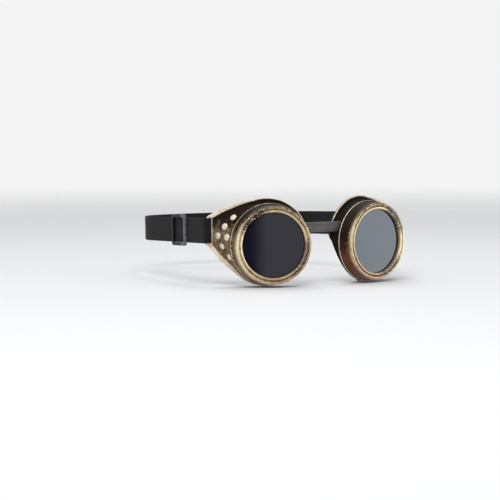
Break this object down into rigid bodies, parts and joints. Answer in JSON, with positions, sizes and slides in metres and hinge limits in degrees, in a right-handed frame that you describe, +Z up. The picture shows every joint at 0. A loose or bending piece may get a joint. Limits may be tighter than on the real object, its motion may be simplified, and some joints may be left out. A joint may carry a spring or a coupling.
{
  "type": "goggles",
  "caption": "Round-lens goggles with flared studded eyecups, screw-off beaded lens rings over tinted lenses, a rubber nose bridge and an elastic head strap with a slider.",
  "frame": {"origin": "on the plane of symmetry, at lens height, where the wearer's face meets the cups", "axes": "+Z up, -Y the way the lenses look, +X to the wearer's left"},
  "size_m": [0.1788, 0.2279, 0.0692],
  "materials": {
    "cup_shell": "dark antique bronze with worn gold edges",
    "ring_gold": "antique gold rubbed over dark brown",
    "lens_tint": "dark tinted, polished",
    "gasket_rubber": "soft black",
    "stud_gold": "pale rubbed gold",
    "bridge_rubber": "satin black",
    "strap_webbing": "woven black elastic",
    "slider_plastic": "black moulded"
  },
  "bodies": {
    "bridge_and_strap": {"nose_bridge": "bridge_rubber", "head_strap": "strap_webbing", "left_strap_loop": "strap_webbing", "right_strap_loop": "strap_webbing"},
    "right_cup": {"right_eyecup": "cup_shell", "right_wing_studs": "stud_gold", "right_lens_gasket": "gasket_rubber"},
    "right_lens_carrier": {"right_lens": "lens_tint"},
    "right_ring": {"right_lens_ring": "ring_gold"},
    "left_cup": {"left_eyecup": "cup_shell", "left_wing_studs": "stud_gold", "left_lens_gasket": "gasket_rubber"},
    "left_lens_carrier": {"left_lens": "lens_tint"},
    "left_ring": {"left_lens_ring": "ring_gold"},
    "slider": {"strap_slider": "slider_plastic", "strap_sewn_end": "strap_webbing"}
  },
  "joints": [
    {"name": "right_cup_toe", "type": "hinge", "parent": "bridge_and_strap", "child": "right_cup", "pos_m": [-0.0244, -0.01714, 0.0122], "axis": [0, 0, -1], "range_deg": [-5, 5], "stiffness_Nm_per_rad": 0.05, "deforming": ["right_strap_loop"]},
    {"name": "right_lens_lift", "type": "slide", "parent": "right_cup", "child": "right_lens_carrier", "axis": [-0.2164, -0.9763, 0], "range_m": [0, 0.006]},
    {"name": "right_ring_turn", "type": "hinge", "parent": "right_lens_carrier", "child": "right_ring", "pos_m": [-0.0475, -0.028, 0], "axis": [-0.2164, -0.9763, 0], "range_deg": [0, 720]},
    {"name": "left_cup_toe", "type": "hinge", "parent": "bridge_and_strap", "child": "left_cup", "pos_m": [0.0244, -0.01714, 0.0122], "axis": [0, 0, 1], "range_deg": [-5, 5], "stiffness_Nm_per_rad": 0.05, "deforming": ["left_strap_loop"]},
    {"name": "left_lens_lift", "type": "slide", "parent": "left_cup", "child": "left_lens_carrier", "axis": [0.2164, -0.9763, 0], "range_m": [0, 0.006]},
    {"name": "left_ring_turn", "type": "hinge", "parent": "left_lens_carrier", "child": "left_ring", "pos_m": [0.0475, -0.028, 0], "axis": [0.2164, -0.9763, 0], "range_deg": [0, 720]},
    {"name": "slider_slide", "type": "slide", "parent": "bridge_and_strap", "child": "slider", "axis": [0.0698, 0.9968, -0.0383], "range_m": [-0.012, 0.025]}
  ],
  "couplings": [
    {"joint": "right_lens_lift", "follows": "right_ring_turn", "m_per_rad": 0.00047746},
    {"joint": "left_lens_lift", "follows": "left_ring_turn", "m_per_rad": 0.00047746}
  ]
}
